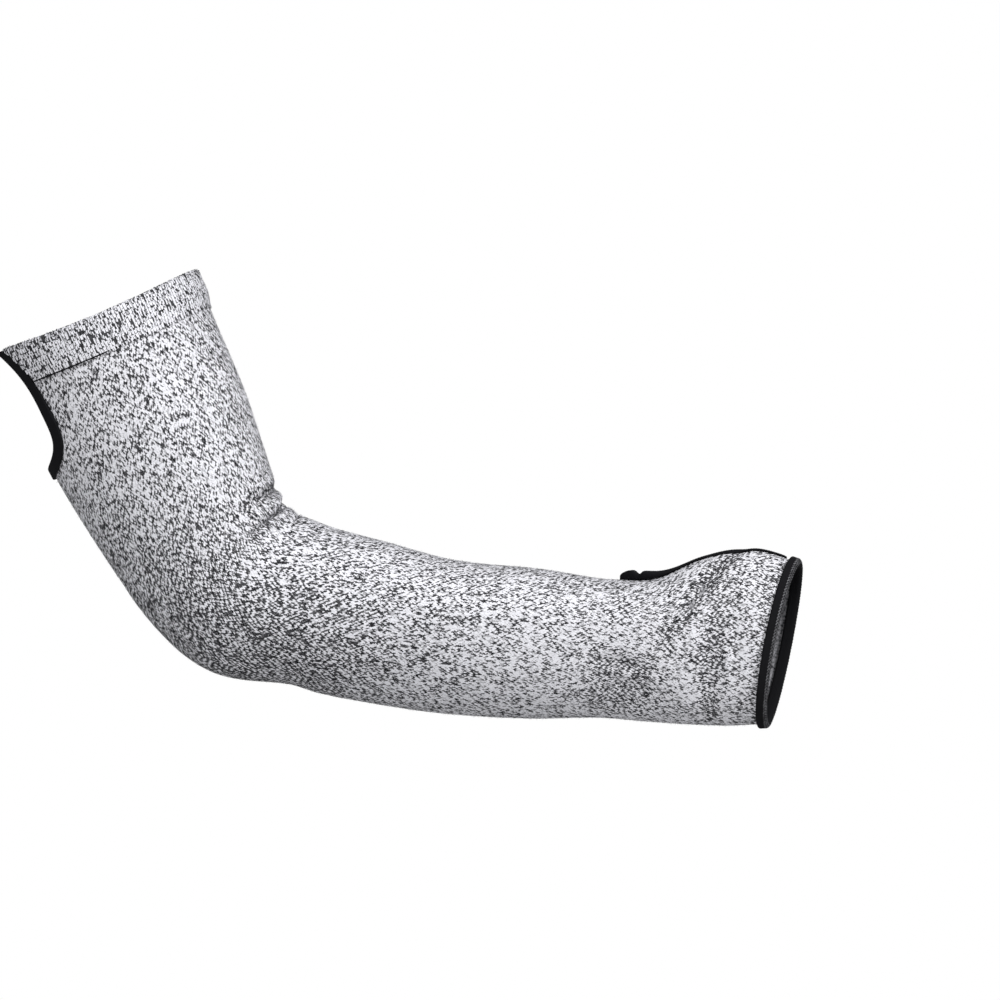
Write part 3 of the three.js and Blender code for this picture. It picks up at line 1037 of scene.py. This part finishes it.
slotPiece = meshObject("thumb_slot_tape", *slotBinding(), tapeBlack)


# The tape round the notch
notchTape = {
    "layer": 1.2,
    "reach": 4.4,
    "step": 0.6,
    "ribs": 0.1,
    "wider": 0.25,
    "widerFrom": 19,
    "widerTo": 51.2,
}


def notchPath():
    belly, length = sleeve["notchBelly"], sleeve["notchLength"]
    top = -sleeve["clearance"] - sleeve["hemLayer"] / 2
    turn = np.linspace(0, math.pi / 2, 80)
    end = belly + (length - belly) * np.sin(turn) ** (2 / sleeve["notchBluntness"])
    stations = np.concatenate([np.linspace(top, belly, 60)[:-1], end])
    far = np.stack([stations, notchWidthAt(stations, -1)], -1)
    near = np.stack([stations, -notchWidthAt(stations, 1)], -1)
    return np.concatenate([far, near[::-1][1:]])


def notchBinding():
    section = foldedSection(notchTape["layer"], notchTape["reach"], legSteps=4, turnSteps=10)
    path = evenPath(notchPath(), notchTape["step"], False)
    lower = smoothStep(path[:, :1], notchTape["widerFrom"], notchTape["widerTo"])
    reach = 1 + notchTape["wider"] * lower
    station, angle, height = edgeLoops(
        path, False, backLine, section, notchTape["ribs"], (1, reach)
    )
    return sweptMesh(offCloth(station, angle, height), False)


notchPiece = meshObject("notch_tape", *notchBinding(), tapeBlack)


# The elastic tape round the hand opening
mouthTape = {"layer": 1.7, "reach": 3.8, "loops": 440, "ribs": 0.16, "ribsPast": 1.2}


def mouthBinding():
    section = foldedSection(mouthTape["layer"], mouthTape["reach"], legSteps=4, turnSteps=12)
    angles = evenAngles(mouthStation, mouthTape["loops"])
    wave = mouthTape["ribs"] * (np.arange(len(angles)) % 2 - 0.5)
    on, height = section[None, :, 0], section[None, :, 1]
    ribbed = height + wave[:, None] * np.sign(height)
    height = np.where(np.abs(height) > mouthTape["ribsPast"], ribbed, height)
    return sweptMesh(offCloth(mouthStation + on, angles[:, None], height), True)


def evenAngles(station, count):
    angles = frontLine + np.linspace(0, 2 * math.pi, 721)
    run = lengthRun(clothPlace(station, angles))
    return np.interp(np.linspace(0, run[-1], count + 1)[:-1], run, angles)


mouthPiece = meshObject("hand_opening_tape", *mouthBinding(), tapeBlack)

# The chain of grey thread along the tape's outer edge. A row is at so many degrees over it.
chain = {
    "stitch": 1.7,
    "rows": (20, 46, 72),
    "length": 1.9,
    "width": 0.62,
    "height": 0.35,
    "slant": 30,
    "lift": 0.12,
    "leastTone": 0.3,
    "seed": 9,
    "sizeSeed": 4,
}


def mouthChain():
    outside = sleeve["clearance"] + mouthTape["layer"] + chain["lift"]
    turn = outside + fold["bulge"]
    outside = outside + sleeve["wall"] / 2

    def place(over, q):
        return offCloth(mouthStation + turn * np.sin(over), q, outside * np.cos(over))

    ring = clothPlace(mouthStation, evenAngles(mouthStation, 720))
    girth = np.linalg.norm(np.roll(ring, -1, axis=0) - ring, axis=-1).sum()
    count = int(girth / chain["stitch"])
    rng = np.random.default_rng(chain["seed"])
    rows = []
    for number, row in enumerate(chain["rows"]):
        q = wrapped(evenAngles(mouthStation, count))
        over = np.full(q.shape, math.radians(row))
        around = unit(place(over, q + 0.01) - place(over, q - 0.01))
        down = unit(place(over + 0.05, q) - place(over - 0.05, q))
        slant = math.radians(chain["slant"]) * (1 if number % 2 else -1)
        rows.append(
            {
                "place": place(over, q),
                "tone": rng.uniform(chain["leastTone"], 1, count),
                "outward": unit(np.cross(around, down)),
                "along": around * math.cos(slant) + down * math.sin(slant),
                "size": strandSizes(count, chain["width"], chain["length"]),
                **bakeRow(count, number, len(chain["rows"])),
            }
        )
    return joined(rows)


mouthStitches = yarnLegs(
    "hand_opening_chain_stitches", mouthChain(), chain["height"], threadGrey, chain["sizeSeed"]
)


# The turned hem. backShade adds dark yarn as painted shade towards the back. The angles endGap,
# backFrom and backTo are in radians.
hem = {
    "course": 1.4,
    "legHeight": 0.6,
    "legSlant": 7,
    "legSpread": 0.21,
    "legOverlap": 1.5,
    "legFullness": 0.8,
    "darkFullness": 0.72,
    "darkLift": 0.12,
    "legTilt": 3,
    "taper": 13,
    "taperDepth": 0.8,
    "lowLift": 0.3,
    "insideRun": 6,
    "rimInset": 0.75,
    "angleJitter": 2,
    "slip": 0.25,
    "darkShare": 0.44,
    "backShade": 0.17,
    "backFrom": 1.9,
    "backTo": 2.6,
    "endGap": 0.012,
    "wales": 196,
    "loops": 300,
    "inset": 0.5,
    "coreInset": 0.9,
    "seed": 5,
    "sizeSeed": 8,
}


def hemSection():
    section = foldedSection(sleeve["hemLayer"], sleeve["hemHeight"], legSteps=10, turnSteps=10)
    outer = section[: -fold["innerCorners"]]
    outer[:, 1] -= np.sign(outer[:, 1]) * hem["coreInset"] * (np.abs(outer[:, 1]) > 1)
    outer[:, 0] = np.where(outer[:, 0] > 0, outer[:, 0] * hem["rimInset"], outer[:, 0])
    closing = 1 - smoothStep(outer[:, 0], -sleeve["hemHeight"], hem["taper"] - sleeve["hemHeight"])
    past = np.maximum(np.abs(outer[:, 1]) - stripInside, 0)
    outer[:, 1] -= np.sign(outer[:, 1]) * past * hem["taperDepth"] * closing
    return section


# The hem's first and last angle at a station: short of the tape by the clearance
def hemEnds(station):
    depth = sectionAt(station)[2]
    width = [notchWidthAt(station, side) for side in (1, -1)]
    reach = notchTape["reach"] + sleeve["clearance"]
    near = backLine - (width[0] + reach) / depth
    far = -backLine + (width[1] + reach) / depth
    return near, far


def hemBand():
    section = hemSection()
    shares = np.linspace(0, 1, hem["loops"] + 1)
    station = -section[None, :, 0]
    near, far = hemEnds(station)
    angle = near + (far - near) * shares[:, None]
    return sweptMesh(offCloth(station, angle, section[None, :, 1]), False)


hemPiece = meshObject("hem_band", *hemBand(), hemCore)
weld(hemPiece)


def hemStitches():
    rng = np.random.default_rng(hem["seed"])
    height = stripInside + sleeve["hemLayer"] - hem["inset"]
    turn = sleeve["clearance"] + sleeve["hemLayer"]
    quarter = math.pi / 2 * (height + turn) / 2
    down = sleeve["hemHeight"]

    def place(p, q):
        # p runs from the hem's lower edge, up its face, over the rim and down inside
        over = np.clip((p - down) / quarter, 0, 2) * math.pi / 2
        inside = np.maximum(p - down - 2 * quarter, 0)
        station = np.where(p < down, down - p, -turn * np.sin(over) + inside)
        rising = smoothStep(p, -1, hem["taper"])
        low = stripInside + hem["lowLift"]
        return offCloth(station, q, (low + (height - low) * rising) * np.cos(over))

    angles, run = waleAngles(np.array([0.0]), hem["wales"])
    courses = np.arange(-0.4, (down + 2 * quarter + hem["insideRun"]) / hem["course"])
    wale = np.repeat(np.arange(hem["wales"]), len(courses))
    course = np.tile(np.arange(len(courses)), hem["wales"])
    p = np.tile(courses * hem["course"], hem["wales"])
    q = wrapped(angles[0, wale])
    near, far = hemEnds(np.clip(down - p, -turn, down))
    kept = (q < near - hem["endGap"]) & (q > far + hem["endGap"])
    wale, course, p, q = (v[kept] for v in (wale, course, p, q))
    width = np.full(len(q), run[0] / hem["wales"])
    # Painted shade: more dark yarn towards the back of the hem, the side away from the key light
    towardBack = smoothStep(np.abs(q), hem["backFrom"], hem["backTo"])
    darkShare = hem["darkShare"] + hem["backShade"] * towardBack
    return legPoints(place, wale, course, p, q, width, hem, rng, darkShare)


hemKnit = yarnLegs(
    "hem_knit_stitches", hemStitches(), hem["legHeight"], hemYarn, hem["sizeSeed"]
)


# A dark thread along the hem's lower edge, standing for its seam line and, as painted shadow, the
# shadow under the edge; it rises into sight towards the back, away from the key light.
# From, to and endGap are angles in radians, and below is how far it lies under the hem's edge.
thread = {
    "from": 0.9,
    "to": 2.3,
    "endGap": 0.03,
    "strands": 160,
    "below": 0.9,
    "lift": 0.9,
    "rise": 0.9,
    "width": 0.75,
    "overlap": 1.6,
    "height": 0.3,
    "sizeSeed": 2,
}


def edgeSeamAndShadow():
    count, station = thread["strands"], sleeve["hemHeight"] + thread["below"]
    near, far = hemEnds(np.array([sleeve["hemHeight"]]))
    angles = np.linspace(thread["from"], near[0] - thread["endGap"], count)
    height = thread["lift"] + thread["rise"] * smoothStep(angles, thread["from"], thread["to"])
    here = offCloth(station, angles, height)
    ahead, behind = (offCloth(station, angles + turn, height) for turn in (0.01, -0.01))
    lower, upper = (offCloth(station + step, angles, height) for step in (0.3, -0.3))
    around, down = unit(ahead - behind), unit(lower - upper)
    gap = np.linalg.norm(here[1] - here[0])
    return {
        "place": here,
        "outward": unit(np.cross(around, down)),
        "along": around,
        "size": strandSizes(count, thread["width"], gap * thread["overlap"]),
        "tone": np.zeros(count),
        **bakeRow(count),
    }


hemSeamAndShadow = yarnLegs(
    "hem_seam_and_shadow_line", edgeSeamAndShadow(), thread["height"], tapeBlack, thread["sizeSeed"]
)
print("hem done")

# What rides where
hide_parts("sleeve_body")
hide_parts("upper_hem")
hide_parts("hand_binding")
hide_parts("thumb_slot_binding")
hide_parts("notch_binding")
slots = {
    "marl_knit": [sleeveTube, *bodyKnit, fibres],
    "hem_knit": [hemPiece, hemKnit, hemSeamAndShadow],
    "elastic_binding": [mouthPiece, mouthStitches],
    "edge_tape": [slotPiece, notchPiece],
}
for slot, pieces in slots.items():
    for piece in pieces:
        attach(piece, "root")

# Floor, light and camera, in metres
studio = {
    "floorDepth": 3.0,
    "floorSize": 1.6,
    "ambient": 0.3,
    "keyPower": 2.85,
    "keySoftness": 12,
    "key": (0.56, -0.5, 0.66),
    "fillPower": 1.6,
    "fill": (-0.28, -0.92, 0.2),
    "fillSoftness": 60,
    "distance": 2.6,
    "aim": (0.1407, 0.0, 0.052),
    "span": 0.5323,
    "clipEnd": 200,
}


def floorPaint(tree):
    return paint["floor"], None, 0


size, depth = studio["floorSize"] / millimetre, -studio["floorDepth"] / millimetre
corners = [(-size, -size, depth), (size, -size, depth), (size, size, depth), (-size, size, depth)]
floor = meshObject("floor", corners, [(0, 1, 2, 3)], material("floor_paint", 1, 0, floorPaint))


def sunFrom(name, direction, power, softness):
    lamp = bpy.data.lights.new(name, "SUN")
    lamp.energy, lamp.angle = power, math.radians(softness)
    holder = placed(name, lamp)
    holder.rotation_mode = "QUATERNION"
    holder.rotation_quaternion = Vector(direction).to_track_quat("Z", "Y")


sunFrom("key", studio["key"], studio["keyPower"], studio["keySoftness"])
sunFrom("fill", studio["fill"], studio["fillPower"], studio["fillSoftness"])

world = bpy.data.worlds.new("studio")
world.use_nodes = True
bpy.context.scene.world = world
sky = world.node_tree
sky.nodes.clear()
# The camera sees plain white, and the object is lit by the weaker ambient light
seen = node(sky, "ShaderNodeLightPath")
backing = "ShaderNodeBackground"
soft = node(sky, backing, None, {"Color": (1, 1, 1, 1), "Strength": studio["ambient"]})
white = node(sky, backing, None, {"Color": (1, 1, 1, 1), "Strength": 1.0})
both = node(sky, "ShaderNodeMixShader", None, {0: seen, 1: soft, 2: white})
surface = sky.nodes.new("ShaderNodeOutputWorld")
feed(sky, surface.inputs["Surface"], both)

view = bpy.data.cameras.new("camera")
view.lens = view.sensor_width * studio["distance"] / studio["span"]
view.clip_end = studio["clipEnd"]
camera = placed("camera", view)
camera.location = (studio["aim"][0], -studio["distance"], studio["aim"][2])
camera.rotation_euler = (math.pi / 2, 0, 0)
bpy.context.scene.camera = camera
bpy.context.scene.view_settings.view_transform = "Standard"

bpy.context.view_layer.update()
